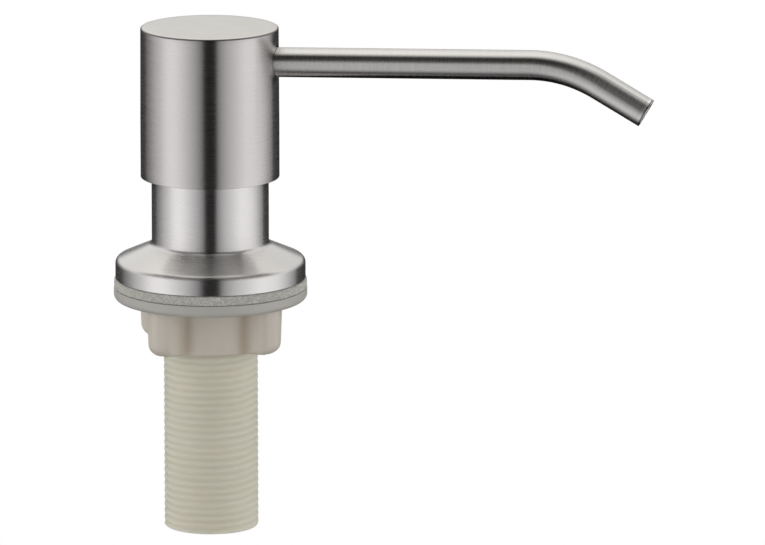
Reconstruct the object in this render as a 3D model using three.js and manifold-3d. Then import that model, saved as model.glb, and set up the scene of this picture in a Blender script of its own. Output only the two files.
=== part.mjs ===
// Deck-mounted soap pump dispenser.
//
// Millimetres, +Z up. The origin is on the dispenser's vertical axis, in the plane where the
// deck gasket's underside meets the countertop. The spout points along +X.
//
// From the top down: a brushed cap with a thin bent spout covers a plastic core; the core sits
// on the stem of a spring-return piston pump; the pump cartridge hangs in the neck of the
// flange body and lifts out upwards; a threaded plastic shank goes down through the deck, where
// a washer and a four-lobed nut clamp it.
import * as THREE from "three";
import { mergeVertices } from "three/addons/utils/BufferGeometryUtils.js";
import Module from "manifold-3d";

const wasm = await Module();
wasm.setup();

// ---------- driving dimensions ----------
const GAP = 0.3; // clearance left between neighbouring pieces

const CAP_R = 18.65; // head cap, outside radius
const CAP_WALL = 1.0;
const CAP_TOP_T = 1.2;
const CAP_Z0 = 30.2; // open lower edge
const CAP_Z1 = 70.8; // top face
const CAP_CHAMFER = 0.3;

const NECK_R = 15.75; // neck of the flange body
const NECK_BORE_R = 14.5;
const NECK_TOP_Z = 40.0;
const FLANGE_R = 25.6; // escutcheon rim
const FLANGE_Z0 = 2.5; // underside, on the gasket
const RIM_Z1 = 6.5; // top of the straight rim band
const SHOULDER = 1.7; // rounding from the rim to the sloped top
const SLOPE = 23.8; // slope of the flange's top, degrees from level
const SHANK_SOCKET_R = 12.4; // bore in the flange for the shank's plain end
const SHANK_SOCKET_Z1 = 16.0;

const GASKET_R = 26.0;
const GASKET_T = 2.2;
const WASHER_R = 26.05;
const WASHER_Z1 = -0.2;
const WASHER_Z0 = -3.4;
const RING_BORE_R = 13.15; // gasket and washer bores, over the thread

const THREAD_R = 12.75; // crest radius of the shank's thread
const THREAD_DEPTH = 0.7;
const THREAD_PITCH = 1.9; // right-hand, single start
const THREAD_SEGMENTS = 16; // per turn
const SHANK_BORE_R = 9.8;
const SHANK_Z0 = -65.9;
const THREAD_Z1 = 1.8;
const SPIGOT_R = 12.1; // plain end, screwed home in the flange
const SPIGOT_Z1 = 15.5;

const NUT_Z1 = -3.6;
const NUT_Z0 = -16.0;
const NUT_HUB_R = 16.0;
const NUT_BORE_R = 13.1;
const NUT_LOBE_R = 23.5; // lobe tips
const NUT_LOBE_HALF = 4.2; // half the lobe's width
const NUT_LOBE_ROUND = 2.7; // rounding of the lobe tips' corners
const NUT_LOBE_AT = -28.3; // first lobe's direction, degrees from +X
const NUT_LOBES = 4;

const SPOUT_R = 4.0; // tube, outside
const SPOUT_BORE_R = 3.2;
const SPOUT_ROOT_Z = 61.5; // the tube's axis where it would cross the cap's axis
const SPOUT_TILT = 1.4; // degrees above horizontal along the straight run
const SPOUT_STRAIGHT = 87.0; // from the cap's axis to the start of the bend
const SPOUT_BEND_R = 36.5; // centreline radius
const SPOUT_BEND = 31.0; // degrees
const SPOUT_REACH = 118.5; // from the cap's axis to the tip's centre
const SPOUT_ROOT_X = 7.3; // inner end of the tube, in the core

const STROKE = 12.0; // how far the head presses down

const CORE_R = 17.35; // plastic core inside the cap
const CORE_PLATE_Z0 = 67.3;
const CORE_PLATE_Z1 = 69.3;
const CORE_SKIRT_R = 16.2; // inside of the core's skirt
const CORE_SKIRT_Z0 = 54.8;
const CORE_BOSS_R = 7.2; // boss round the stem
const CORE_BOSS_Z0 = 55.4;
const CORE_ARM_R = 5.8; // sleeve round the spout's root

const STEM_R = 4.0;
const STEM_BORE_R = 1.6;
const STEM_Z1 = 58.3;
const STEM_TAIL_R = 2.7; // thinner tail that carries the piston
const STEM_TAIL_Z1 = 29.0;
const STEM_Z0 = 17.0;
const OUTLET_CHAMBER_R = 2.9;
const OUTLET_SEAT_Z = 52.0; // narrow end of the outlet ball's conical seat
const OUTLET_BALL_R = 2.2;
const OUTLET_BALL_Z = 53.95;

const COLLAR_RIM_R = 15.5; // closure that rests on the neck's top edge
const COLLAR_R = 14.2;
const COLLAR_Z1 = 42.2;
const COLLAR_Z0 = 31.0;

const CYL_R = 8.2; // pump cylinder
const CYL_BORE_R = 7.0;
const CYL_Z1 = 35.4;
const CYL_FLANGE_R = 11.6;
const CYL_FLOOR_Z = -21.0;
const INLET_SEAT_Z = -27.5;
const INLET_CHAMBER_R = 3.4;
const CYL_NOSE_R = 4.8;
const CYL_Z0 = -40.0;
const INLET_BALL_R = 2.4;
const INLET_BALL_Z = -25.2;

const PISTON_R = 6.7;
const PISTON_Z0 = 22.0;
const PISTON_Z1 = 28.7;

const SPRING_R = 4.85; // mean coil radius
const SPRING_WIRE_R = 0.5;
const SPRING_Z0 = -17.6; // wire centre at the lower end
const SPRING_Z1 = 18.2; // wire centre at the upper end
const SPRING_TURNS = 7;

const TUBE_R = 3.0; // dip tube
const TUBE_BORE_R = 2.0;
const TUBE_Z1 = -29.8;
const TUBE_Z0 = -63.5;

const FINE = 36; // segments of the outer turned pieces
const COARSE = 24; // segments of the inner turned pieces

// ---------- helpers ----------
const v2 = (r, z) => new THREE.Vector2(r, z);

// A closed geometry as a solid.
function solid(geometry) {
  const g = geometry.index ? geometry.clone() : geometry;
  for (const name of Object.keys(g.attributes)) if (name !== "position") g.deleteAttribute(name);
  const m = mergeVertices(g, 1e-4);
  const index = m.index.array;
  const kept = [];
  for (let i = 0; i < index.length; i += 3) {
    const [a, b, c] = [index[i], index[i + 1], index[i + 2]];
    if (a !== b && b !== c && a !== c) kept.push(a, b, c);
  }
  const vertProperties = new Float32Array(m.attributes.position.array);
  const make = (tris) => new wasm.Manifold(new wasm.Mesh({ numProp: 3, vertProperties, triVerts: new Uint32Array(tris) }));
  const s = make(kept);
  if (s.volume() > 0) return s;
  const flipped = [];
  for (let i = 0; i < kept.length; i += 3) flipped.push(kept[i], kept[i + 2], kept[i + 1]);
  return make(flipped);
}

// A solid back as a geometry.
function geometryOf(s) {
  const mesh = s.getMesh();
  const g = new THREE.BufferGeometry();
  const p = new Float32Array((mesh.vertProperties.length / mesh.numProp) * 3);
  for (let i = 0, j = 0; i < mesh.vertProperties.length; i += mesh.numProp, j += 3) {
    p[j] = mesh.vertProperties[i];
    p[j + 1] = mesh.vertProperties[i + 1];
    p[j + 2] = mesh.vertProperties[i + 2];
  }
  g.setAttribute("position", new THREE.BufferAttribute(p, 3));
  g.setIndex(new THREE.BufferAttribute(new Uint32Array(mesh.triVerts), 1));
  g.computeVertexNormals();
  return g;
}

// A profile of [radius, height] pairs turned about Z. A profile off the axis is closed on itself.
function turned(profile, segments = COARSE) {
  const pts = profile.map(([r, z]) => v2(r, z));
  const onAxis = profile[0][0] === 0 && profile[profile.length - 1][0] === 0;
  if (!onAxis) pts.push(pts[0].clone());
  const g = new THREE.LatheGeometry(pts, segments);
  g.rotateX(Math.PI / 2);
  return solid(g);
}

// A rod along X from x0 to x1, at height z.
function rodX(radius, x0, x1, z, segments = COARSE) {
  const g = new THREE.CylinderGeometry(radius, radius, x1 - x0, segments);
  g.rotateZ(Math.PI / 2);
  g.translate((x0 + x1) / 2, 0, z);
  return solid(g);
}

// The same rod, tilted with the spout about the cap's axis.
function rodAlongSpout(radius, from, to, segments = COARSE) {
  const g = new THREE.CylinderGeometry(radius, radius, to - from, segments);
  g.rotateZ(Math.PI / 2);
  g.translate((from + to) / 2, 0, 0);
  g.rotateY(-THREE.MathUtils.degToRad(SPOUT_TILT));
  g.translate(0, 0, SPOUT_ROOT_Z);
  return solid(g);
}

function box(x0, x1, y0, y1, z0, z1) {
  const g = new THREE.BoxGeometry(x1 - x0, y1 - y0, z1 - z0);
  g.translate((x0 + x1) / 2, (y0 + y1) / 2, (z0 + z1) / 2);
  return solid(g);
}

// A ring of round section about Z.
function ring(radius, section, z, sides = 6) {
  const g = new THREE.TorusGeometry(radius, section, sides, COARSE);
  g.translate(0, 0, z);
  return solid(g);
}

// ---------- materials ----------
const material = (color, roughness, metalness) => new THREE.MeshStandardMaterial({ color, roughness, metalness });
const brushedSteel = material(0xb9b5af, 0.32, 1.0);
const springSteel = material(0xa9a9a7, 0.3, 1.0);
const shankPlastic = material(0xb5b29f, 0.5, 0.0);
const nutPlastic = material(0xa39d91, 0.5, 0.0);
const foam = material(0x98958b, 0.95, 0.0);
const pumpPlastic = material(0xd9d9d4, 0.45, 0.0);
const sealRubber = material(0x2a2a2a, 0.7, 0.0);
const tubePlastic = material(0xdfe3e2, 0.35, 0.0);

const dispenser = new THREE.Group();
function add(name, shape, mat, parent = dispenser) {
  const mesh = new THREE.Mesh(geometryOf(shape), mat);
  mesh.name = name;
  parent.add(mesh);
  return mesh;
}

// ---------- fixed frame: flange body, shank, gasket ----------
{
  // Escutcheon and neck, turned in one piece. The shank screws into its lower bore, and the
  // pump cartridge hangs in the wider bore above.
  const p = [];
  p.push([SHANK_SOCKET_R, FLANGE_Z0], [FLANGE_R - 0.2, FLANGE_Z0], [FLANGE_R, FLANGE_Z0 + 0.2], [FLANGE_R, RIM_Z1]);
  // rounded shoulder, from vertical to the slope
  const slope = THREE.MathUtils.degToRad(SLOPE);
  const cx = FLANGE_R - SHOULDER;
  for (let i = 1; i <= 3; i++) {
    const a = ((Math.PI / 2 - slope) * i) / 3;
    p.push([cx + SHOULDER * Math.cos(a), RIM_Z1 + SHOULDER * Math.sin(a)]);
  }
  // slope up to the neck, then the fillet
  const [r1, z1] = p[p.length - 1];
  const foot = z1 + (r1 - NECK_R) * Math.tan(slope);
  p.push([NECK_R + 0.95, foot - 0.42], [NECK_R + 0.28, foot + 0.12], [NECK_R, foot + 0.9]);
  p.push([NECK_R, NECK_TOP_Z - 0.4], [NECK_R - 0.4, NECK_TOP_Z], [NECK_BORE_R, NECK_TOP_Z]);
  p.push([NECK_BORE_R, SHANK_SOCKET_Z1], [SHANK_SOCKET_R, SHANK_SOCKET_Z1]);
  add("flange_body", turned(p, FINE), brushedSteel);
}
{
  // The thread is a right-hand helical ridge of triangular section. The rod is built a turn too
  // long at both ends and trimmed square.
  const n = THREAD_SEGMENTS;
  const low = SHANK_Z0 - 1.2 * THREAD_PITCH;
  const turns = Math.ceil((THREAD_Z1 - low) / THREAD_PITCH) + 1;
  const count = turns * n;
  const positions = [];
  const root = (k) => 2 * k;
  const crest = (k) => 2 * k + 1;
  for (let k = 0; k <= count; k++) {
    const a = (2 * Math.PI * k) / n;
    const z = low + (THREAD_PITCH * k) / n;
    const rr = THREAD_R - THREAD_DEPTH;
    positions.push(rr * Math.cos(a), rr * Math.sin(a), z);
    positions.push(THREAD_R * Math.cos(a), THREAD_R * Math.sin(a), z + THREAD_PITCH / 2);
  }
  const bottom = positions.length / 3;
  positions.push(0, 0, low);
  const top = bottom + 1;
  positions.push(0, 0, low + (THREAD_PITCH * count) / n + THREAD_PITCH / 2);
  const tris = [];
  for (let k = 0; k < count; k++) {
    tris.push(root(k), root(k + 1), crest(k + 1), root(k), crest(k + 1), crest(k));
    if (k + n < count) {
      tris.push(crest(k), crest(k + 1), root(k + n + 1), crest(k), root(k + n + 1), root(k + n));
    }
  }
  for (let k = 0; k < n; k++) tris.push(bottom, root(k + 1), root(k));
  tris.push(bottom, crest(0), root(n), bottom, root(0), crest(0));
  for (let k = count - n; k < count; k++) tris.push(top, crest(k), crest(k + 1));
  tris.push(top, crest(count), root(count), top, root(count), crest(count - n));
  const g = new THREE.BufferGeometry();
  g.setAttribute("position", new THREE.BufferAttribute(new Float32Array(positions), 3));
  g.setIndex(tris);
  // square ends with a small lead chamfer
  const trim = turned(
    [
      [0, SHANK_Z0],
      [THREAD_R - THREAD_DEPTH, SHANK_Z0],
      [THREAD_R + 0.6, SHANK_Z0 + 1.2],
      [THREAD_R + 0.6, THREAD_Z1],
      [0, THREAD_Z1],
    ],
    FINE,
  );
  const spigot = turned(
    [
      [0, THREAD_Z1 - 1],
      [THREAD_R - THREAD_DEPTH - 0.3, THREAD_Z1 - 1],
      [THREAD_R - THREAD_DEPTH - 0.3, THREAD_Z1],
      [SPIGOT_R, THREAD_Z1],
      [SPIGOT_R, SPIGOT_Z1],
      [0, SPIGOT_Z1],
    ],
    FINE,
  );
  const bore = turned(
    [
      [0, SHANK_Z0 - 5],
      [SHANK_BORE_R, SHANK_Z0 - 5],
      [SHANK_BORE_R, SPIGOT_Z1 + 5],
      [0, SPIGOT_Z1 + 5],
    ],
    FINE,
  );
  add("shank", solid(g).intersect(trim).add(spigot).subtract(bore), shankPlastic);
}
add(
  "deck_gasket",
  turned(
    [
      [RING_BORE_R, 0],
      [GASKET_R, 0],
      [GASKET_R, GASKET_T],
      [RING_BORE_R, GASKET_T],
    ],
    FINE,
  ),
  foam,
);

// ---------- clamp below the deck: washer and nut ----------
add(
  "clamp_washer",
  turned(
    [
      [RING_BORE_R, WASHER_Z0],
      [WASHER_R - 2.2, WASHER_Z0],
      [WASHER_R - 0.9, WASHER_Z0 + 0.45],
      [WASHER_R, WASHER_Z0 + 1.7],
      [WASHER_R, WASHER_Z1 - 0.3],
      [WASHER_R - 0.3, WASHER_Z1],
      [RING_BORE_R, WASHER_Z1],
    ],
    FINE,
  ),
  nutPlastic,
);
{
  // Hub with four rounded lobes to turn by hand.
  const outline = new THREE.Shape();
  const w = NUT_LOBE_HALF;
  const r = NUT_LOBE_ROUND;
  const foot = 1.6; // rounding between lobe and hub
  const hubAt = Math.sqrt(NUT_HUB_R ** 2 - (w + foot) ** 2);
  const pts = [];
  for (let i = 0; i < NUT_LOBES; i++) {
    const turn = THREE.MathUtils.degToRad(NUT_LOBE_AT + (360 / NUT_LOBES) * i);
    const put = (x, y) => pts.push([x * Math.cos(turn) - y * Math.sin(turn), x * Math.sin(turn) + y * Math.cos(turn)]);
    // hub arc before the lobe
    const half = Math.PI / NUT_LOBES;
    const a0 = Math.atan2(w + foot, hubAt);
    for (let k = 0; k < 4; k++) {
      const a = -half + ((half - a0) * k) / 4;
      put(NUT_HUB_R * Math.cos(a), NUT_HUB_R * Math.sin(a));
    }
    put(hubAt, -(w + foot));
    put(hubAt + 0.5 * foot, -(w + 0.3 * foot));
    put(hubAt + 1.3 * foot, -w);
    for (let k = 0; k <= 3; k++) {
      const a = -Math.PI / 2 + ((Math.PI / 2) * k) / 3;
      put(NUT_LOBE_R - 0.35 - r + r * Math.cos(a), -w + r + r * Math.sin(a));
    }
    put(NUT_LOBE_R, 0);
    for (let k = 0; k <= 3; k++) {
      const a = ((Math.PI / 2) * k) / 3;
      put(NUT_LOBE_R - 0.35 - r + r * Math.cos(a), w - r + r * Math.sin(a));
    }
    put(hubAt + 1.3 * foot, w);
    put(hubAt + 0.5 * foot, w + 0.3 * foot);
    put(hubAt, w + foot);
    for (let k = 1; k < 4; k++) {
      const a = a0 + ((half - a0) * k) / 4;
      put(NUT_HUB_R * Math.cos(a), NUT_HUB_R * Math.sin(a));
    }
  }
  pts.forEach(([x, y], i) => (i ? outline.lineTo(x, y) : outline.moveTo(x, y)));
  outline.closePath();
  const hole = new THREE.Path();
  for (let k = 0; k <= FINE; k++) {
    const a = (-2 * Math.PI * k) / FINE;
    if (k) hole.lineTo(NUT_BORE_R * Math.cos(a), NUT_BORE_R * Math.sin(a));
    else hole.moveTo(NUT_BORE_R, 0);
  }
  outline.holes.push(hole);
  const g = new THREE.ExtrudeGeometry(outline, { depth: NUT_Z1 - NUT_Z0, bevelEnabled: false, steps: 1 });
  g.translate(0, 0, NUT_Z0);
  add("lock_nut", solid(g), nutPlastic);
}

// ---------- pump cartridge ----------
const cartridge = new THREE.Group();
dispenser.add(cartridge);
add(
  "pump_collar",
  turned([
    [4.4, 39.8],
    [12.0, 39.8],
    [12.0, 33.1],
    [10.4, 33.1],
    [10.4, COLLAR_Z0],
    [COLLAR_R, COLLAR_Z0],
    [COLLAR_R, 34.8],
    [12.9, 34.8],
    [12.9, 36.6],
    [COLLAR_R, 36.6],
    [COLLAR_R, NECK_TOP_Z + GAP],
    [COLLAR_RIM_R, NECK_TOP_Z + GAP],
    [COLLAR_RIM_R, COLLAR_Z1],
    [4.4, COLLAR_Z1],
  ]),
  pumpPlastic,
  cartridge,
);
add("collar_seal", ring(13.7, 0.62, 35.7), sealRubber, cartridge);
add(
  "stem_guide",
  turned([
    [4.4, 29.1],
    [6.6, 29.1],
    [6.6, CYL_Z1 + GAP],
    [CYL_FLANGE_R, CYL_Z1 + GAP],
    [CYL_FLANGE_R, 37.2],
    [6.8, 37.2],
    [5.4, 39.4],
    [4.4, 39.4],
  ]),
  pumpPlastic,
  cartridge,
);
add(
  "pump_cylinder",
  turned([
    [CYL_BORE_R, CYL_FLOOR_Z],
    [CYL_BORE_R, CYL_Z1],
    [CYL_FLANGE_R, CYL_Z1],
    [CYL_FLANGE_R, CYL_Z1 - 2],
    [CYL_R, CYL_Z1 - 2],
    [CYL_R, -24],
    [CYL_NOSE_R, -28],
    [CYL_NOSE_R, CYL_Z0],
    [3.3, CYL_Z0],
    [3.3, -29.5],
    [STEM_BORE_R, -29.5],
    [STEM_BORE_R, INLET_SEAT_Z],
    [INLET_CHAMBER_R, INLET_SEAT_Z + INLET_CHAMBER_R - STEM_BORE_R],
    [INLET_CHAMBER_R, CYL_FLOOR_Z],
  ]),
  pumpPlastic,
  cartridge,
);
{
  // Seat for the spring's lower end; its crossbar keeps the inlet ball in.
  const body = turned([
    [3.0, -20.7],
    [PISTON_R, -20.7],
    [PISTON_R, -18.4],
    [4.0, -18.4],
    [4.0, -15.9],
    [3.0, -15.9],
  ]);
  add("ball_cage", body.add(box(-3.4, 3.4, -0.7, 0.7, -20.7, -19.3)), pumpPlastic, cartridge);
}
{
  const ball = new THREE.SphereGeometry(INLET_BALL_R, 12, 8);
  ball.rotateX(Math.PI / 2);
  ball.translate(0, 0, INLET_BALL_Z);
  add("inlet_ball", solid(ball), springSteel, cartridge);
}
add(
  "dip_tube",
  turned(
    [
      [TUBE_BORE_R, TUBE_Z0],
      [TUBE_R, TUBE_Z0],
      [TUBE_R, TUBE_Z1],
      [TUBE_BORE_R, TUBE_Z1],
    ],
    16,
  ),
  tubePlastic,
  cartridge,
);
{
  class Helix extends THREE.Curve {
    getPoint(t, target = new THREE.Vector3()) {
      const a = 2 * Math.PI * SPRING_TURNS * t;
      return target.set(SPRING_R * Math.cos(a), SPRING_R * Math.sin(a), SPRING_Z0 + (SPRING_Z1 - SPRING_Z0) * t);
    }
  }
  const wire = new THREE.Shape();
  for (let k = 0; k <= 5; k++) {
    const a = (2 * Math.PI * k) / 5;
    if (k) wire.lineTo(SPRING_WIRE_R * Math.cos(a), SPRING_WIRE_R * Math.sin(a));
    else wire.moveTo(SPRING_WIRE_R, 0);
  }
  const g = new THREE.ExtrudeGeometry(wire, { steps: SPRING_TURNS * 10, bevelEnabled: false, extrudePath: new Helix() });
  add("return_spring", solid(g), springSteel, cartridge);
}

// ---------- plunger ----------
const plunger = new THREE.Group();
dispenser.add(plunger);
add(
  "pump_stem",
  turned([
    [STEM_BORE_R, STEM_Z0],
    [STEM_TAIL_R, STEM_Z0],
    [STEM_TAIL_R, STEM_TAIL_Z1],
    [STEM_R, STEM_TAIL_Z1],
    [STEM_R, STEM_Z1],
    [OUTLET_CHAMBER_R, STEM_Z1],
    [OUTLET_CHAMBER_R, OUTLET_SEAT_Z + OUTLET_CHAMBER_R - STEM_BORE_R],
    [STEM_BORE_R, OUTLET_SEAT_Z],
  ]),
  pumpPlastic,
  plunger,
);
add(
  "piston",
  turned([
    [3.0, PISTON_Z0],
    [5.0, PISTON_Z0],
    [5.6, PISTON_Z0 + 1.2],
    [PISTON_R - 0.3, PISTON_Z0 + 0.2],
    [PISTON_R, PISTON_Z0 + 0.6],
    [PISTON_R - 0.9, PISTON_Z0 + 2.6],
    [PISTON_R - 0.9, PISTON_Z1 - 2.0],
    [PISTON_R, PISTON_Z1 - 0.4],
    [PISTON_R - 0.3, PISTON_Z1],
    [3.0, PISTON_Z1],
  ]),
  pumpPlastic,
  plunger,
);
add(
  "piston_retainer",
  turned([
    [3.0, 16.8],
    [4.0, 16.8],
    [4.0, 19.0],
    [5.6, 19.0],
    [5.6, PISTON_Z0 - GAP],
    [3.0, PISTON_Z0 - GAP],
  ]),
  pumpPlastic,
  plunger,
);
{
  const ball = new THREE.SphereGeometry(OUTLET_BALL_R, 12, 8);
  ball.rotateX(Math.PI / 2);
  ball.translate(0, 0, OUTLET_BALL_Z);
  add("outlet_ball", solid(ball), springSteel, plunger);
}

// ---------- head: cap, core, spout, seals ----------
const head = new THREE.Group();
dispenser.add(head);
{
  const shell = turned(
    [
      [0, CAP_Z1 - CAP_TOP_T],
      [CAP_R - CAP_WALL, CAP_Z1 - CAP_TOP_T],
      [CAP_R - CAP_WALL, CAP_Z0],
      [CAP_R, CAP_Z0],
      [CAP_R, CAP_Z1 - CAP_CHAMFER],
      [CAP_R - CAP_CHAMFER, CAP_Z1],
      [0, CAP_Z1],
    ],
    FINE,
  );
  add("head_cap", shell.subtract(rodAlongSpout(SPOUT_R + GAP, 10, 30)), brushedSteel, head);
}
{
  // Plate and skirt inside the cap, a boss over the stem and a sleeve for the spout's root.
  const outer = turned(
    [
      [0, CORE_PLATE_Z0],
      [CORE_SKIRT_R, CORE_PLATE_Z0],
      [CORE_SKIRT_R, CORE_SKIRT_Z0],
      [CORE_R, CORE_SKIRT_Z0],
      [CORE_R, CORE_PLATE_Z1],
      [0, CORE_PLATE_Z1],
    ],
    FINE,
  );
  const boss = turned([
    [0, CORE_BOSS_Z0],
    [CORE_BOSS_R, CORE_BOSS_Z0],
    [CORE_BOSS_R, CORE_PLATE_Z0 + 1],
    [0, CORE_PLATE_Z0 + 1],
  ]);
  const arm = rodX(CORE_ARM_R, 2, CORE_SKIRT_R + 0.4, SPOUT_ROOT_Z);
  // stem socket, seal groove and the chamber above the outlet ball
  const socket = turned([
    [0, CORE_BOSS_Z0 - 1],
    [STEM_R + GAP, CORE_BOSS_Z0 - 1],
    [STEM_R + GAP, 56.2],
    [5.6, 56.2],
    [5.6, 57.7],
    [STEM_R + GAP, 57.7],
    [STEM_R + GAP, STEM_Z1 + GAP],
    [3.2, STEM_Z1 + GAP],
    [3.2, 65.0],
    [0, 65.0],
  ]);
  // pin that stops the outlet ball's lift
  const stop = turned(
    [
      [0, 57.7],
      [1.0, 57.7],
      [1.0, 66.0],
      [0, 66.0],
    ],
    12,
  );
  const spoutHole = rodAlongSpout(SPOUT_R + GAP, SPOUT_ROOT_X - GAP, 30);
  const passage = rodAlongSpout(2.2, 2, 12, 16);
  const groove = rodAlongSpout(5.2, 10.0, 11.6);
  add(
    "head_core",
    outer.add(boss).add(arm).subtract(socket).subtract(spoutHole).subtract(passage).subtract(groove).add(stop),
    pumpPlastic,
    head,
  );
}
{
  // Straight tube, one bend down and a short straight end, cut square.
  const tilt = THREE.MathUtils.degToRad(SPOUT_TILT);
  const bend = THREE.MathUtils.degToRad(SPOUT_BEND);
  const at = (s) => new THREE.Vector3(s * Math.cos(tilt), 0, SPOUT_ROOT_Z + s * Math.sin(tilt));
  const p1 = at(SPOUT_STRAIGHT / Math.cos(tilt));
  const centre = p1.clone().add(new THREE.Vector3(Math.sin(tilt), 0, -Math.cos(tilt)).multiplyScalar(SPOUT_BEND_R));
  const onBend = (a) =>
    centre.clone().add(new THREE.Vector3(-Math.sin(tilt - a), 0, Math.cos(tilt - a)).multiplyScalar(SPOUT_BEND_R));
  const p2 = onBend(bend);
  const end = tilt - bend;
  const tail = (SPOUT_REACH - p2.x) / Math.cos(end);
  const p3 = p2.clone().add(new THREE.Vector3(Math.cos(end), 0, Math.sin(end)).multiplyScalar(tail));
  const straightLength = at(SPOUT_ROOT_X).distanceTo(p1);
  const bendLength = SPOUT_BEND_R * bend;
  const total = straightLength + bendLength + tail;
  class Spout extends THREE.Curve {
    getPoint(t, target = new THREE.Vector3()) {
      const s = t * total;
      if (s <= straightLength) return target.copy(at(SPOUT_ROOT_X)).lerp(p1, s / straightLength);
      if (s <= straightLength + bendLength) return target.copy(onBend((s - straightLength) / SPOUT_BEND_R));
      return target.copy(p2).lerp(p3, (s - straightLength - bendLength) / tail);
    }
  }
  const section = new THREE.Shape();
  const sides = 16;
  for (let k = 0; k <= sides; k++) {
    const a = (2 * Math.PI * k) / sides;
    if (k) section.lineTo(SPOUT_R * Math.cos(a), SPOUT_R * Math.sin(a));
    else section.moveTo(SPOUT_R, 0);
  }
  const bore = new THREE.Path();
  for (let k = 0; k <= sides; k++) {
    const a = (-2 * Math.PI * k) / sides;
    if (k) bore.lineTo(SPOUT_BORE_R * Math.cos(a), SPOUT_BORE_R * Math.sin(a));
    else bore.moveTo(SPOUT_BORE_R, 0);
  }
  section.holes.push(bore);
  const g = new THREE.ExtrudeGeometry(section, { steps: 22, bevelEnabled: false, extrudePath: new Spout() });
  add("spout_tube", solid(g), brushedSteel, head);
}
{
  // Seals: round the stem in the core's boss, and round the spout's root in the core's sleeve.
  add("stem_seal", ring(4.95, 0.55, 56.95), sealRubber, head);
  const g = new THREE.TorusGeometry(4.75, 0.42, 6, COARSE);
  g.rotateY(Math.PI / 2);
  g.translate(10.8, 0, 0);
  g.rotateY(-THREE.MathUtils.degToRad(SPOUT_TILT));
  g.translate(0, 0, SPOUT_ROOT_Z);
  add("spout_seal", solid(g), sealRubber, head);
}

export default dispenser;
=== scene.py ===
# Looks for the deck-mounted soap pump dispenser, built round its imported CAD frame.
# Units are metres, +Z up, +X along the spout.
import math

import bpy
from mathutils import Matrix, Vector


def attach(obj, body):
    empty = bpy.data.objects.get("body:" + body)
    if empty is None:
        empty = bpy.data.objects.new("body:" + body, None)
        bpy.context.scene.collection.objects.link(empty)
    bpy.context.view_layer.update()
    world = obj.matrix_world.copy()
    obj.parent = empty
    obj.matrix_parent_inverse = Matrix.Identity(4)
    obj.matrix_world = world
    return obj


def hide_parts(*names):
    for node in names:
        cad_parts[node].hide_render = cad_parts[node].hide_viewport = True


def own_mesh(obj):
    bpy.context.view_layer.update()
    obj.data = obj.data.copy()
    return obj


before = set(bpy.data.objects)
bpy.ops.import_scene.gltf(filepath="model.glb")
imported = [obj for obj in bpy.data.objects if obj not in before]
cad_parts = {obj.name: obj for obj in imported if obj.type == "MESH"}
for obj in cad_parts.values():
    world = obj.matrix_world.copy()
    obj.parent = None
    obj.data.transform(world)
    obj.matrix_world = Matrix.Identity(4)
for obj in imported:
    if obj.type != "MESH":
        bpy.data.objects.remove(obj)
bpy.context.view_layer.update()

MM = 0.001


# ------------------------------------------------------------------ mesh helpers
def add_mesh(name, verts, faces, sharp_deg=35.0):
    me = bpy.data.meshes.new(name)
    me.from_pydata([tuple(c * MM for c in v) for v in verts], [], faces)
    me.validate()
    me.update()
    for p in me.polygons:
        p.use_smooth = True
    me.set_sharp_from_angle(angle=math.radians(sharp_deg))
    ob = bpy.data.objects.new(name, me)
    bpy.context.scene.collection.objects.link(ob)
    return ob


def rounded(profile, default=0.0, steps=5):
    """A closed or open profile of [r, z] or [r, z, radius] with its corners rounded."""
    out = []
    n = len(profile)
    for i, p in enumerate(profile):
        r = p[2] if len(p) > 2 else default
        if r <= 0 or (p[0] == 0):
            out.append((p[0], p[1]))
            continue
        a, b, c = Vector(profile[i - 1][:2]), Vector(p[:2]), Vector(profile[(i + 1) % n][:2])
        u, w = (a - b), (c - b)
        lu, lw = u.length, w.length
        u.normalize(); w.normalize()
        angle = u.angle(w)
        if angle > math.radians(176):
            out.append((p[0], p[1]))
            continue
        t = min(r / math.tan(angle / 2), 0.49 * lu, 0.49 * lw)
        rad = t * math.tan(angle / 2)
        bis = (u + w).normalized()
        centre = b + bis * (rad / math.sin(angle / 2))
        s, e = b + u * t, b + w * t
        a0 = math.atan2(s.y - centre.y, s.x - centre.x)
        a1 = math.atan2(e.y - centre.y, e.x - centre.x)
        d = (a1 - a0 + math.pi) % (2 * math.pi) - math.pi
        for k in range(steps + 1):
            q = a0 + d * k / steps
            out.append((centre.x + rad * math.cos(q), centre.y + rad * math.sin(q)))
    return out


def subdivided(points, longest, closed=True):
    """Breaks long straight runs of a profile, so that faces stay short."""
    out = []
    n = len(points)
    for i in range(n if closed else n - 1):
        a, b = points[i], points[(i + 1) % n]
        out.append(a)
        d = math.dist(a, b)
        k = int(d // longest)
        for j in range(1, k + 1):
            t = j / (k + 1)
            out.append((a[0] + (b[0] - a[0]) * t, a[1] + (b[1] - a[1]) * t))
    if not closed:
        out.append(points[-1])
    return out


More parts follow.
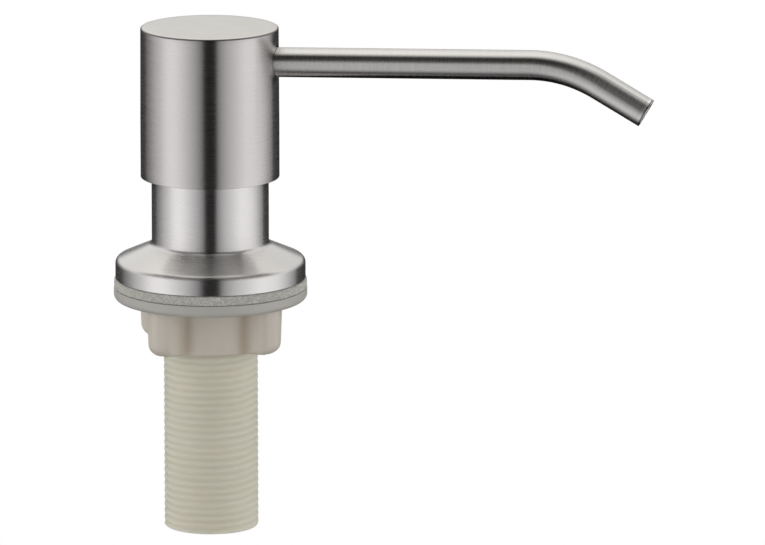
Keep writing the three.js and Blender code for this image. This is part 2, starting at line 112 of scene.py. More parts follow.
def turned(name, profile, segs=160, radius=0.12, steps=4, longest=3.0, sharp_deg=35.0):
    """A profile turned about Z. It runs so that its solid lies on its left, seen with r to the right and z up,
    closes on itself, and may touch the axis at its first and last points."""
    pts = rounded(profile, radius, steps)
    on_axis = profile[0][0] == 0 and profile[-1][0] == 0
    pts = subdivided(pts, longest, closed=not on_axis)
    verts, faces, rows = [], [], []
    for r, z in pts:
        if r == 0:
            rows.append([len(verts)])
            verts.append((0, 0, z))
        else:
            rows.append(list(range(len(verts), len(verts) + segs)))
            for k in range(segs):
                a = 2 * math.pi * k / segs
                verts.append((r * math.cos(a), r * math.sin(a), z))
    pairs = list(zip(rows, rows[1:])) + ([] if on_axis else [(rows[-1], rows[0])])
    for lo, hi in pairs:
        for k in range(segs):
            j = (k + 1) % segs
            if len(lo) == 1 and len(hi) == 1:
                continue
            if len(lo) == 1:
                faces.append((lo[0], hi[j], hi[k]))
            elif len(hi) == 1:
                faces.append((lo[k], lo[j], hi[0]))
            else:
                faces.append((lo[k], lo[j], hi[j], hi[k]))
    ob = add_mesh(name, verts, faces, sharp_deg)
    face_out(ob)
    return ob


def face_out(ob):
    """Turns every face outwards."""
    import bmesh
    bm = bmesh.new()
    bm.from_mesh(ob.data)
    bmesh.ops.recalc_face_normals(bm, faces=bm.faces)
    if bm.calc_volume(signed=True) < 0:
        bmesh.ops.reverse_faces(bm, faces=bm.faces)
    bm.to_mesh(ob.data)
    bm.free()
    ob.data.update()


def hash01(*k):
    """A repeatable pseudo-random number from 0 to 1."""
    x = 0.0
    for i, v in enumerate(k):
        x += v * (12.9898 + 65.4321 * i)
    s = math.sin(x) * 43758.5453
    return s - math.floor(s)


def torus(name, major, minor, z, segs=96, sides=24):
    verts, faces = [], []
    for k in range(segs):
        a = 2 * math.pi * k / segs
        for j in range(sides):
            b = 2 * math.pi * j / sides
            r = major + minor * math.cos(b)
            verts.append((r * math.cos(a), r * math.sin(a), z + minor * math.sin(b)))
    for k in range(segs):
        for j in range(sides):
            k2, j2 = (k + 1) % segs, (j + 1) % sides
            faces.append((k * sides + j, k2 * sides + j, k2 * sides + j2, k * sides + j2))
    ob = add_mesh(name, verts, faces)
    face_out(ob)
    return ob


def ball(name, radius, z, segs=64, rings=32):
    prof = [(0, z - radius)]
    for i in range(1, rings):
        a = -math.pi / 2 + math.pi * i / rings
        prof.append((radius * math.cos(a), z + radius * math.sin(a)))
    prof.append((0, z + radius))
    return turned(name, prof, segs=segs, radius=0, longest=99, sharp_deg=60)


def boolean(ob, cutter, mode="DIFFERENCE", sharp_deg=32.0):
    m = ob.modifiers.new("cut", "BOOLEAN")
    m.operation = mode
    m.solver = "EXACT"
    m.object = cutter
    dg = bpy.context.evaluated_depsgraph_get()
    me = bpy.data.meshes.new_from_object(ob.evaluated_get(dg))
    ob.modifiers.clear()
    old = ob.data
    name = old.name
    ob.data = me
    bpy.data.meshes.remove(old)
    me.name = name
    for p in me.polygons:
        p.use_smooth = True
    me.set_sharp_from_angle(angle=math.radians(sharp_deg))
    cutter_data = cutter.data
    bpy.data.objects.remove(cutter)
    bpy.data.meshes.remove(cutter_data)


# ------------------------------------------------------------------ material helpers
class Nodes:
    """A short way to write a node tree."""

    def __init__(self, name, slot_like=None):
        self.mat = bpy.data.materials.new(name)
        self.mat.use_nodes = True
        self.t = self.mat.node_tree
        self.t.nodes.clear()
        self.out = self.t.nodes.new("ShaderNodeOutputMaterial")
        self.b = self.t.nodes.new("ShaderNodeBsdfPrincipled")
        self.t.links.new(self.b.outputs["BSDF"], self.out.inputs["Surface"])
        self._coord = None

    def n(self, kind, **kw):
        node = self.t.nodes.new("ShaderNode" + kind)
        for k, v in kw.items():
            setattr(node, k, v)
        return node

    def link(self, a, b):
        self.t.links.new(a, b)

    def coord(self):
        if self._coord is None:
            self._coord = self.n("TexCoord").outputs["Object"]
        return self._coord

    def scaled(self, sx, sy, sz, source=None, rot=(0, 0, 0)):
        m = self.n("Mapping")
        self.link(source or self.coord(), m.inputs["Vector"])
        m.inputs["Scale"].default_value = (sx, sy, sz)
        m.inputs["Rotation"].default_value = rot
        return m.outputs["Vector"]

    def noise(self, vector, scale=1.0, detail=2.0, rough=0.5, distortion=0.0):
        x = self.n("TexNoise")
        self.link(vector, x.inputs["Vector"])
        x.inputs["Scale"].default_value = scale
        x.inputs["Detail"].default_value = detail
        x.inputs["Roughness"].default_value = rough
        x.inputs["Distortion"].default_value = distortion
        return x.outputs["Fac"]

    def remap(self, value, a, b, c, d):
        m = self.n("MapRange")
        self.link(value, m.inputs["Value"])
        for i, v in zip(("From Min", "From Max", "To Min", "To Max"), (a, b, c, d)):
            m.inputs[i].default_value = v
        return m.outputs["Result"]

    def mixc(self, fac, a, b, mode="MIX"):
        m = self.n("Mix", data_type="RGBA", blend_type=mode)
        if hasattr(fac, "links"):
            self.link(fac, m.inputs["Factor"])
        else:
            m.inputs["Factor"].default_value = fac
        for k, v in (("A", a), ("B", b)):
            sock = [i for i in m.inputs if i.name == k and i.type == "RGBA"][0]
            if hasattr(v, "links"):
                self.link(v, sock)
            else:
                sock.default_value = (*v, 1) if len(v) == 3 else v
        return [o for o in m.outputs if o.type == "RGBA"][0]

    def math(self, op, a, b=None):
        m = self.n("Math", operation=op)
        for i, v in enumerate((a, b)):
            if v is None:
                continue
            if hasattr(v, "links"):
                self.link(v, m.inputs[i])
            else:
                m.inputs[i].default_value = v
        return m.outputs[0]

    def bump(self, height, strength, distance):
        b = self.n("Bump")
        b.inputs["Strength"].default_value = strength
        b.inputs["Distance"].default_value = distance
        self.link(height, b.inputs["Height"])
        self.link(b.outputs["Normal"], self.b.inputs["Normal"])


def brushed_metal(name, base=(0.612, 0.585, 0.584), rough=0.285, aniso=0.95, mode="turned", painted_edge_lines=(), grain=0.11, end=0.0, relief=0.10):
    """Satin metal with fine brushing. The strokes run round Z (turned), or round the spout (tube), which
    carries its own length and axis direction. Each listed turned corner, as (radius, z, width) in mm, gets a thin
    dark ring of painted shade in its colour, standing in for the dark reflection along that edge."""
    m = Nodes(name)
    if mode == "turned":
        sep = m.n("SeparateXYZ")
        m.link(m.coord(), sep.inputs[0])
        rad = m.math("SQRT", m.math("ADD", m.math("MULTIPLY", sep.outputs[0], sep.outputs[0]), m.math("MULTIPLY", sep.outputs[1], sep.outputs[1])))
        lay = m.n("CombineXYZ")
        m.link(sep.outputs[0], lay.inputs[0])
        m.link(sep.outputs[1], lay.inputs[1])
        m.link(m.math("SUBTRACT", sep.outputs[2], rad), lay.inputs[2])
        fine = m.noise(m.scaled(130, 130, 3400, lay.outputs[0]), detail=3, rough=0.65)
        short = m.noise(m.scaled(330, 330, 4600, lay.outputs[0]), detail=2, rough=0.6)
        broad = m.noise(m.scaled(40, 40, 1100, lay.outputs[0]), detail=2)
    else:
        at = m.n("Attribute", attribute_name="along")
        comb = m.n("CombineXYZ")
        m.link(at.outputs["Fac"], comb.inputs["X"])
        m.link(m.n("Attribute", attribute_name="round").outputs["Fac"], comb.inputs["Y"])
        fine = m.noise(m.scaled(3400, 150, 1, comb.outputs[0]), detail=3, rough=0.65)
        short = m.noise(m.scaled(5200, 420, 1, comb.outputs[0]), detail=2, rough=0.6)
        broad = m.noise(m.scaled(1100, 45, 1, comb.outputs[0]), detail=2)
    blotch = m.noise(m.scaled(75, 75, 75), detail=2)
    streak = m.math("ADD", m.math("MULTIPLY", fine, 0.5), m.math("ADD", m.math("MULTIPLY", short, 0.35), m.math("MULTIPLY", broad, 0.15)))
    tone = m.remap(streak, 0.34, 0.66, 0.0, 1.0)
    lo = tuple(c * (1 - grain) for c in base)
    hi = tuple(min(1, c * (1 + 0.8 * grain)) for c in base)
    col = m.mixc(tone, lo, hi)
    col = m.mixc(m.remap(blotch, 0.3, 0.7, 0.0, 0.3), col, tuple(c * 0.93 for c in base))
    if mode == "tube":  # the cut end: a paler band a little back from the end, painted as a highlight, then a narrow dark line of painted shade just before the rim
        col = m.mixc(m.remap(at.outputs["Fac"], end - 0.0013, end - 0.0009, 0.0, 0.55), col, (0.86, 0.86, 0.85))
        line = m.remap(at.outputs["Fac"], end - 0.00042, end - 0.00028, 0.0, 0.93)
        line = m.math("MULTIPLY", line, m.remap(at.outputs["Fac"], end - 0.00007, end - 0.00002, 1.0, 0.0))
        col = m.mixc(line, col, (0.04, 0.04, 0.04))
    # painted shade: a thin dark ring at each listed turned corner, darkest on the corner itself
    for r, z, w in painted_edge_lines:
        dr = m.math("SUBTRACT", rad, r * MM)
        dz = m.math("SUBTRACT", sep.outputs[2], z * MM)
        d = m.math("SQRT", m.math("ADD", m.math("MULTIPLY", dr, dr), m.math("MULTIPLY", dz, dz)))
        col = m.mixc(m.remap(d, w * MM * 0.55, w * MM, 0.8, 0.0), col, (0.10, 0.10, 0.10))
    m.link(col, m.b.inputs["Base Color"])
    m.link(m.remap(streak, 0.3, 0.7, rough - 0.04, rough + 0.05), m.b.inputs["Roughness"])
    m.b.inputs["Metallic"].default_value = 1.0
    m.b.inputs["Anisotropic"].default_value = aniso
    if mode == "turned":
        m.b.inputs["Anisotropic Rotation"].default_value = 0.25
        tan = m.n("Tangent", direction_type="RADIAL", axis="Z")
        m.link(tan.outputs["Tangent"], m.b.inputs["Tangent"])
    else:
        m.link(m.n("Attribute", attribute_name="run").outputs["Vector"], m.b.inputs["Tangent"])
    m.bump(streak, relief, 0.00003)
    return m.mat


def plastic(name, base, rough=0.45, grain=900.0, tint=(0.97, 0.97, 0.97), subsurface=0.0, bump=0.1, radius=(1.0, 0.9, 0.7), painted_corner_shade=None, depth=0.002):
    """Moulded plastic: faint clouding, fine grain, and, where the mesh carries its own "hollow" values,
    painted shade: a warmer and darker tone in its inside corners, where shade falls."""
    m = Nodes(name)
    cloud = m.noise(m.scaled(70, 70, 40), detail=3, rough=0.55)
    fine = m.noise(m.scaled(grain, grain, grain), detail=3, rough=0.6)
    col = m.mixc(m.remap(cloud, 0.3, 0.7, 0, 1), tuple(a * b for a, b in zip(base, tint)), base)
    if painted_corner_shade:
        # painted shade: the inside corners are mixed towards a warmer, darker tone
        col = m.mixc(m.n("Attribute", attribute_name="hollow").outputs["Fac"], col, tuple(a * b for a, b in zip(base, painted_corner_shade)))
    m.link(col, m.b.inputs["Base Color"])
    m.link(m.remap(fine, 0.3, 0.7, rough - 0.05, rough + 0.07), m.b.inputs["Roughness"])
    if subsurface:
        m.b.inputs["Subsurface Weight"].default_value = subsurface
        m.b.inputs["Subsurface Radius"].default_value = radius
        m.b.inputs["Subsurface Scale"].default_value = depth
    m.bump(fine, bump, 0.00006)
    return m.mat


SPOUT_Z, TILT = 61.5, math.radians(1.4)
BEND, BEND_R, STRAIGHT, REACH = math.radians(31.0), 36.5, 87.0, 118.5


def spout_length():
    """The spout's length along its axis, in metres, from the cap's axis to the open end."""
    s1 = STRAIGHT / math.cos(TILT)
    x2 = STRAIGHT + BEND_R * (math.sin(TILT) + math.sin(BEND - TILT))
    return (s1 + BEND_R * BEND + (REACH - x2) / math.cos(TILT - BEND)) * MM


SPOUT_LENGTH = spout_length()
# the cap's top edge gets a thin dark ring of painted shade, for the dark reflection along that edge
HEAD_METAL = brushed_metal("head_brushed", painted_edge_lines=[(18.48, 70.72, 0.42)])
BODY_METAL = brushed_metal("body_brushed", base=(0.71, 0.693, 0.69), rough=0.285, grain=0.06, relief=0.05)
# the spout's cut end carries a painted highlight band and a painted shade line
SPOUT_METAL = brushed_metal("spout_brushed", base=(0.65, 0.635, 0.628), rough=0.28, mode="tube", end=SPOUT_LENGTH)


def satin_top():
    """The cap's flat top: even satin, with faint straight brushing."""
    m = Nodes("head_top_satin")
    fine = m.noise(m.scaled(160, 4200, 1), detail=3, rough=0.6)
    cloud = m.noise(m.scaled(45, 45, 45), detail=2)
    tone = m.math("ADD", m.math("MULTIPLY", fine, 0.5), m.math("MULTIPLY", cloud, 0.5))
    m.link(m.mixc(m.remap(tone, 0.35, 0.65, 0, 1), (0.712, 0.691, 0.667), (0.80, 0.785, 0.775)), m.b.inputs["Base Color"])
    m.link(m.remap(fine, 0.3, 0.7, 0.32, 0.40), m.b.inputs["Roughness"])
    m.b.inputs["Metallic"].default_value = 1.0
    m.bump(fine, 0.06, 0.00003)
    return m.mat


HEAD_TOP = satin_top()
SHANK_PLASTIC = plastic("shank_natural", (0.585, 0.565, 0.475), 0.42, tint=(0.95, 0.95, 0.93), subsurface=0.9, depth=0.004)
# the nut's inside corners and bore get painted shade through its hollow values
NUT_PLASTIC = plastic("nut_natural", (0.522, 0.487, 0.432), 0.42, tint=(0.94, 0.92, 0.90), subsurface=0.3, painted_corner_shade=(0.80, 0.73, 0.65))
WASHER_PLASTIC = plastic("washer_natural", (0.395, 0.383, 0.355), 0.45, tint=(0.94, 0.94, 0.93), subsurface=0.1)
PUMP_PLASTIC = plastic("pump_moulded", (0.74, 0.74, 0.72), 0.35, tint=(0.96, 0.97, 0.98))
CYLINDER_PLASTIC = plastic("cylinder_moulded", (0.70, 0.72, 0.71), 0.32, tint=(0.96, 0.97, 0.98))
PISTON_PLASTIC = plastic("piston_moulded", (0.60, 0.66, 0.70), 0.4)
TUBE_PLASTIC = plastic("tube_extruded", (0.70, 0.73, 0.73), 0.25, tint=(0.97, 0.98, 0.98))


def foam_material():
    m = Nodes("gasket_foam")
    v = m.n("TexVoronoi", feature="F1")
    m.link(m.coord(), v.inputs["Vector"])
    v.inputs["Scale"].default_value = 1900
    fine = m.noise(m.scaled(2600, 2600, 2600), detail=4, rough=0.7)
    mix = m.math("ADD", m.math("MULTIPLY", v.outputs["Distance"], 0.7), m.math("MULTIPLY", fine, 0.6))
    t = m.remap(mix, 0.25, 0.95, 0, 1)
    col = m.mixc(t, (0.24, 0.233, 0.205), (0.49, 0.482, 0.445))
    m.link(col, m.b.inputs["Base Color"])
    m.b.inputs["Roughness"].default_value = 0.92
    m.bump(mix, 0.55, 0.00018)
    return m.mat


def rubber_material():
    m = Nodes("seal_black")
    fine = m.noise(m.scaled(1500, 1500, 1500), detail=3)
    m.link(m.mixc(m.remap(fine, 0.3, 0.7, 0, 1), (0.018, 0.018, 0.018), (0.035, 0.034, 0.033)), m.b.inputs["Base Color"])
    m.link(m.remap(fine, 0.3, 0.7, 0.5, 0.68), m.b.inputs["Roughness"])
    m.bump(fine, 0.15, 0.00005)
    return m.mat


def wire_material():
    m = Nodes("spring_bright")
    fine = m.noise(m.scaled(1200, 1200, 3500), detail=3)
    m.link(m.mixc(m.remap(fine, 0.3, 0.7, 0, 1), (0.50, 0.50, 0.50), (0.62, 0.62, 0.61)), m.b.inputs["Base Color"])
    m.b.inputs["Metallic"].default_value = 1.0
    m.link(m.remap(fine, 0.3, 0.7, 0.2, 0.32), m.b.inputs["Roughness"])
    m.bump(fine, 0.1, 0.00003)
    return m.mat


GASKET_FOAM = foam_material()
SEAL_RUBBER = rubber_material()
SPRING_STEEL = wire_material()


def place(ob, body, node, mat):
    ob.data.materials.clear()
    ob.data.materials.append(mat)
    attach(ob, body)
    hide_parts(node)
    return ob


# ------------------------------------------------------------------ head
CAP_R, CAP_Z0, CAP_Z1 = 18.65, 30.2, 70.8


def rod(name, radius, frm, to, segs=64):
    """A rod along the spout's straight run, from and to in mm from the cap's axis."""
    verts, faces = [], []
    for s in (frm, to):
        for k in range(segs):
            a = 2 * math.pi * k / segs
            x, y, z = s, radius * math.cos(a), radius * math.sin(a)
            verts.append((x * math.cos(TILT) - z * math.sin(TILT), y, SPOUT_Z + x * math.sin(TILT) + z * math.cos(TILT)))
    for k in range(segs):
        j = (k + 1) % segs
        faces.append((k, j, segs + j, segs + k))
    faces.append(tuple(range(segs))[::-1])
    faces.append(tuple(range(segs, 2 * segs)))
    ob = add_mesh(name, verts, faces)
    face_out(ob)
    return ob


cap = turned(
    "pump_head_cap",
    [
        [0, CAP_Z1 - 1.2],
        [CAP_R - 1.0, CAP_Z1 - 1.2, 0.5],
        [CAP_R - 1.0, CAP_Z0, 0.15],
        [CAP_R, CAP_Z0, 0.15],
        [CAP_R, 46.0],
        [CAP_R - 0.13, CAP_Z1, 0.4],
        [0, CAP_Z1],
    ],
    segs=256,
    longest=1.6,
)
boolean(cap, rod("cap_cut", 4.27, 10, 30, segs=96))
place(cap, "head", "head_cap", HEAD_METAL)
cap.data.materials.append(HEAD_TOP)
for p in cap.data.polygons:
    if p.normal.z > 0.995 and p.center.z > (CAP_Z1 - 0.1) * MM:
        p.material_index = 1


def spout():
    bend_r, bend = BEND_R, BEND
    p = lambda s: Vector((s * math.cos(TILT), 0, SPOUT_Z + s * math.sin(TILT)))
    s1 = STRAIGHT / math.cos(TILT)
    p1 = p(s1)
    centre = p1 + Vector((math.sin(TILT), 0, -math.cos(TILT))) * bend_r
    pts = []  # (point, direction angle, length)
    steps = [7.3, 7.5] + [18 + 3.0 * i for i in range(int((s1 - 18) / 3.0))] + [s1]
    for s in steps:
        pts.append((p(s), TILT, s))
    n = 36
    for i in range(1, n + 1):
        a = bend * i / n
        q = centre + Vector((-math.sin(TILT - a), 0, math.cos(TILT - a))) * bend_r
        pts.append((q, TILT - a, s1 + bend_r * a))
    p2 = pts[-1][0]
    end = TILT - bend
    tail = (REACH - p2.x) / math.cos(end)
    for i in range(1, 8):
        f = i / 7
        pts.append((p2 + Vector((math.cos(end), 0, math.sin(end))) * (tail * f), end, s1 + bend_r * bend + tail * f))
    segs = 72
    verts, faces, along, around, run, rows = [], [], [], [], [], []

    def ringat(point, angle, length, radius):
        row = []
        up = Vector((-math.sin(angle), 0, math.cos(angle)))
        for k in range(segs):
            a = 2 * math.pi * k / segs
            v = point + Vector((0, 1, 0)) * (radius * math.sin(a)) + up * (radius * math.cos(a))
            row.append(len(verts))
            verts.append(tuple(v))
            along.append(length * MM)
            around.append(abs((a + 0.6) % (2 * math.pi) - math.pi) * 4.0 * MM)
            run.append((math.cos(angle), 0.0, math.sin(angle)))
        rows.append(row)

    R, B, lip = 4.0, 3.2, 0.16
    for q, a, s in pts[:-1]:
        ringat(q, a, s, R)
    q, a, s = pts[-1]
    d = Vector((math.cos(a), 0, math.sin(a)))
    for k in range(0, 6):
        b = math.pi / 2 * k / 5
        ringat(q - d * (lip * (1 - math.sin(b))), a, s, R - lip * (1 - math.cos(b)))
    for k in range(0, 6):
        b = math.pi / 2 * (1 - k / 5)
        ringat(q - d * (lip * (1 - math.sin(b))), a, s, B + lip * (1 - math.cos(b)))
    for q, a, s in reversed(pts[:-1]):
        ringat(q, a, s, B)
    for lo, hi in zip(rows, rows[1:] + rows[:1]):
        for k in range(segs):
            j = (k + 1) % segs
            faces.append((lo[k], lo[j], hi[j], hi[k]))
    ob = add_mesh("spout", verts, faces)
    face_out(ob)
    at = ob.data.attributes.new("along", "FLOAT", "POINT")
    ar = ob.data.attributes.new("round", "FLOAT", "POINT")
    rn = ob.data.attributes.new("run", "FLOAT_VECTOR", "POINT")
    for i, v in enumerate(along):
        at.data[i].value = v
        ar.data[i].value = around[i]
        rn.data[i].vector = run[i]
    return ob


place(spout(), "head", "spout_tube", SPOUT_METAL)

# ------------------------------------------------------------------ flange body
NECK_R = 15.75
flange = turned(
    "flange_and_neck",
    [
        [12.4, 2.5, 0.3],
        [25.6, 2.5, 0.25],
        [25.6, 7.6, 1.7],
        [NECK_R, 11.95, 1.4],
        [NECK_R, 40.0, 0.4],
        [14.5, 40.0, 0.3],
        [14.5, 16.0, 0.2],
        [12.4, 16.0, 0.2],
    ],
    segs=256,
    radius=0.2,
    steps=8,
    longest=1.6,
)
place(flange, "frame", "flange_body", BODY_METAL)

gasket = turned(
    "foam_gasket",
    [[13.15, 0.0, 0.15], [26.0, 0.0, 0.2], [26.0, 2.45, 0.6], [13.15, 2.45, 0.15]],
    segs=360,
    radius=0.3,
    longest=0.3,
)
for v in gasket.data.vertices:
    x, y, z = v.co
    r = math.hypot(x, y)
    if r > 0.0255:
        k = 1 - 0.00016 * hash01(round(x * 4e4), round(y * 4e4), round(z * 4e4)) / r
        v.co = (x * k, y * k, z)
place(gasket, "frame", "deck_gasket", GASKET_FOAM)

washer = turned(
    "clamp_disc",
    [[13.15, -3.4, 0.3], [26.05, -3.4, 1.6], [26.05, -0.1, 0.25], [13.15, -0.1, 0.3]],
    segs=256,
    radius=0.3,
    steps=8,
    longest=2.0,
)
place(washer, "washer", "clamp_washer", WASHER_PLASTIC)


# ------------------------------------------------------------------ threaded shank
def thread_height(u):
    """0 at the root, 1 at the crest, for u from 0 to 1 over one pitch: flat-topped, with rounded roots."""
    d = abs(u - 0.5) * 2  # 0 at the crest, 1 at the root
    t = min(1.0, max(0.0, (0.93 - d) / 0.72))
    return t * t * (3 - 2 * t) * 0.35 + t * 0.65


def shank():
    pitch, crest, depth = 1.9, 12.70, 0.22
    z0, z1, spigot, top = -65.9, 1.8, 12.1, 15.5
    segs, dz = 128, 1.9 / 14
    rows = []
    rows.append(("in", 9.8, top - 0.2))
    zs = []
    z = z0
    while z < z1:
        zs.append(z)
        z += dz
    zs.append(z1)
    profile = [("flat", 9.8, z0 + 0.25), ("flat", 10.05, z0), ("flat", 12.35, z0)]
    profile += [("thread", None, z) for z in zs[1:]]
    profile += [("flat", spigot - 0.3, z1 + 0.15), ("flat", spigot, z1 + 0.5)]
    k = z1 + 2.5
    while k < top - 0.5:
        profile.append(("flat", spigot, k))
        k += 2.5
    profile += [("flat", spigot, top - 0.3), ("flat", spigot - 0.3, top), ("flat", 10.05, top), ("flat", 9.8, top - 0.25)]
    k = top - 2.5
    while k > z0 + 1:
        profile.append(("flat", 9.8, k))
        k -= 2.5
    verts, faces = [], []
    for kind, r, z in profile:
        for i in range(segs):
            a = 2 * math.pi * i / segs
            if kind == "thread":
                u = ((z - z0) / pitch - a / (2 * math.pi)) % 1.0
                rr = crest - depth + depth * thread_height(u)
                lead = 12.45 + (z - z0) * 0.95
                fade = 12.1 + (z1 - z) * 0.8
                rr = min(rr, lead, max(fade, 12.0))
            else:
                rr = r
            verts.append((rr * math.cos(a), rr * math.sin(a), z))
    n = len(profile)
    for p in range(n):
        q = (p + 1) % n
        for i in range(segs):
            j = (i + 1) % segs
            faces.append((p * segs + i, p * segs + j, q * segs + j, q * segs + i))
    ob = add_mesh("threaded_shank", verts, faces, 50)
    face_out(ob)
    return ob


place(shank(), "frame", "shank", SHANK_PLASTIC)


# ------------------------------------------------------------------ lobed nut
def nut_outline(n_lobe=14):
    """The nut's plan: [(x, y, nx, ny, lobe)], where lobe is 0 on the hub and 1 on a lobe's tip."""
    hub, tip, w, r, foot = 16.0, 23.5, 4.2, 2.7, 2.6
    first, count = -28.3, 4
    pts = []
    tip_arc = 8.5  # the tip's crown
    for i in range(count):
        turn = math.radians(first + 90 * i)
        c, s = math.cos(turn), math.sin(turn)
        local = []
        hub_at = math.sqrt((hub + foot) ** 2 - (w + foot) ** 2)  # the foot fillet's centre
        fx, fy = hub_at, w + foot
        a_hub = math.atan2(fy, fx)
        half = math.pi / count
        m = 16
        for k in range(m):
            a = -half + (half - a_hub) * k / m
            local.append((hub * math.cos(a), hub * math.sin(a)))
        # fillet from hub to lobe flank (centre at fx, -fy)
        a0 = math.pi - a_hub  # towards the axis
        for k in range(9):
            a = a0 + (math.pi / 2 - a0) * k / 8
            local.append((fx + foot * math.cos(a), -fy + foot * math.sin(a)))
        # lobe flank and rounded tip
        bulge = 0.5
        cxr = tip - bulge - r
        for k in range(1, 4):
            local.append((fx + (cxr - fx) * k / 4, -w))
        for k in range(n_lobe + 1):
            a = -math.pi / 2 + math.radians(78) * k / n_lobe
            local.append((cxr + r * math.cos(a), -w + r + r * math.sin(a)))
        last = local[-1]
        for k in range(1, 8):
            t = k / 8
            y = last[1] * (1 - 2 * t)
            x = last[0] + (tip - last[0]) * (1 - (2 * t - 1) ** 2)
            local.append((x, y))
        mirrored = [(x, -y) for x, y in reversed(local[:local.index(last) + 1])]
        local += mirrored[:-1]
        pts += [(x * c - y * s, x * s + y * c) for x, y in local]
    # even steps
    total = [0.0]
    for a, b in zip(pts, pts[1:] + pts[:1]):
        total.append(total[-1] + math.dist(a, b))
    n = 480
    out, k = [], 0
    for i in range(n):
        d = total[-1] * i / n
        while total[k + 1] < d:
            k += 1
        a, b = pts[k], pts[(k + 1) % len(pts)]
        t = (d - total[k]) / max(1e-9, total[k + 1] - total[k])
        out.append((a[0] + (b[0] - a[0]) * t, a[1] + (b[1] - a[1]) * t))
    res = []
    for i in range(n):
        a, b = out[i - 2], out[(i + 2) % n]
        tx, ty = b[0] - a[0], b[1] - a[1]
        l = math.hypot(tx, ty)
        nx, ny = ty / l, -tx / l
        r_ = math.hypot(*out[i])
        res.append((out[i][0], out[i][1], nx, ny, min(1.0, max(0.0, (r_ - hub) / (tip - hub)))))
    return res


def nut():
    plan = nut_outline()
    n = len(plan)
    z1, z0 = -3.6, -16.0
    verts, faces = [], []

    def ringof(z, inset):
        for x, y, nx, ny, lobe in plan:
            d = inset(lobe)
            verts.append((x - nx * d, y - ny * d, z(lobe)))

    levels = 0
    # a small edge break at the top, drafted walls, and a rounded lower edge, wider on the lobes
    rnd = lambda lobe: 0.7 + 2.7 * (lobe * lobe * (3 - 2 * lobe))
    draft = 0.30
    ringof(lambda l: z1, lambda l: 0.25); levels += 1
    ringof(lambda l: z1 - 0.1, lambda l: 0.08); levels += 1
    ringof(lambda l: z1 - 0.3, lambda l: 0.0); levels += 1
    for k in range(1, 9):
        f = k / 8
        ringof(lambda l, f=f: (z1 - 0.3) + (z0 + rnd(l) - (z1 - 0.3)) * f, lambda l, f=f: draft * f); levels += 1
    for k in range(1, 11):
        a = math.pi / 2 * k / 10
        ringof(lambda l, a=a: z0 + rnd(l) * (1 - math.sin(a)), lambda l, a=a: draft + rnd(l) * (1 - math.cos(a))); levels += 1
    for p in range(levels - 1):
        for i in range(n):
            j = (i + 1) % n
            faces.append((p * n + i, p * n + j, (p + 1) * n + j, (p + 1) * n + i))
    # the threaded bore, on the same number of points, each at its own angle
    base = len(verts)
    ang = [math.atan2(y, x) for x, y, *_ in plan]
    pitch, z_ref = 1.9, -65.9
    inner = 0
    bz = []
    z = z0
    while z < z1:
        bz.append(z)
        z += pitch / 10
    bz.append(z1)
    for zi, z in enumerate(bz):
        for a in ang:
            u = ((z - z_ref) / pitch - a / (2 * math.pi)) % 1.0
            rr = 12.97 + 0.45 * thread_height(u)
            edge = min(z - z0, z1 - z)
            rr = max(rr, 13.6 - edge * 1.1)
            verts.append((rr * math.cos(a), rr * math.sin(a), z))
        inner += 1
    for p in range(inner - 1):
        for i in range(n):
            j = (i + 1) % n
            faces.append((base + p * n + j, base + p * n + i, base + (p + 1) * n + i, base + (p + 1) * n + j))
    # top and bottom faces between outline and bore
    lastring = (levels - 1) * n
    for i in range(n):
        j = (i + 1) % n
        faces.append((lastring + i, lastring + j, base + j, base + i))
        t = base + (inner - 1) * n
        faces.append((t + i, t + j, j, i))
    # how hollow the outline is at each point, spread a little to each side; it sets the painted shade in the inside
    # corners, and the bore gets a fixed share of it
    bend = []
    for i in range(n):
        ax, ay = plan[i - 3][2:4]
        bx, by = plan[(i + 3) % n][2:4]
        bend.append(max(0.0, -(ax * by - ay * bx)))
    spread = 7
    soft = [sum(bend[(i + k) % n] * (1 - abs(k) / (spread + 1)) for k in range(-spread, spread + 1)) for i in range(n)]
    peak = max(soft)
    ob = add_mesh("lobed_nut", verts, faces, 38)
    at = ob.data.attributes.new("hollow", "FLOAT", "POINT")
    for i in range(len(verts)):
        at.data[i].value = min(1.0, soft[i % n] / peak) ** 1.3 if i < levels * n else 0.35
    face_out(ob)
    return ob


place(nut(), "nut", "lock_nut", NUT_PLASTIC)

# ------------------------------------------------------------------ pump cartridge
place(
    turned(
        "cartridge_collar",
        [
            [4.4, 39.8, 0.3], [12.0, 39.8, 0.3], [12.0, 33.1, 0.2], [10.4, 33.1, 0.2], [10.4, 31.0, 0.3],
            [14.2, 31.0, 0.5], [14.2, 34.8, 0.1], [12.9, 34.8, 0.2], [12.9, 36.6, 0.2], [14.2, 36.6, 0.1],
            [14.2, 40.3, 0.1], [15.5, 40.3, 0.2], [15.5, 42.2, 0.5], [4.4, 42.2, 0.4],
        ],
        segs=128,
    ),
    "cartridge", "pump_collar", PUMP_PLASTIC,
)
place(torus("collar_o_ring", 13.7, 0.62, 35.7), "cartridge", "collar_seal", SEAL_RUBBER)
place(
    turned(
        "stem_guide_ring",
        [
            [4.4, 29.1, 0.2], [6.6, 29.1, 0.3], [6.6, 35.7, 0.2], [11.6, 35.7, 0.2], [11.6, 37.2, 0.3],
            [6.8, 37.2, 0.4], [5.4, 39.4, 0.2], [4.4, 39.4, 0.1],
        ],
        segs=96,
    ),
    "cartridge", "stem_guide", PUMP_PLASTIC,
)
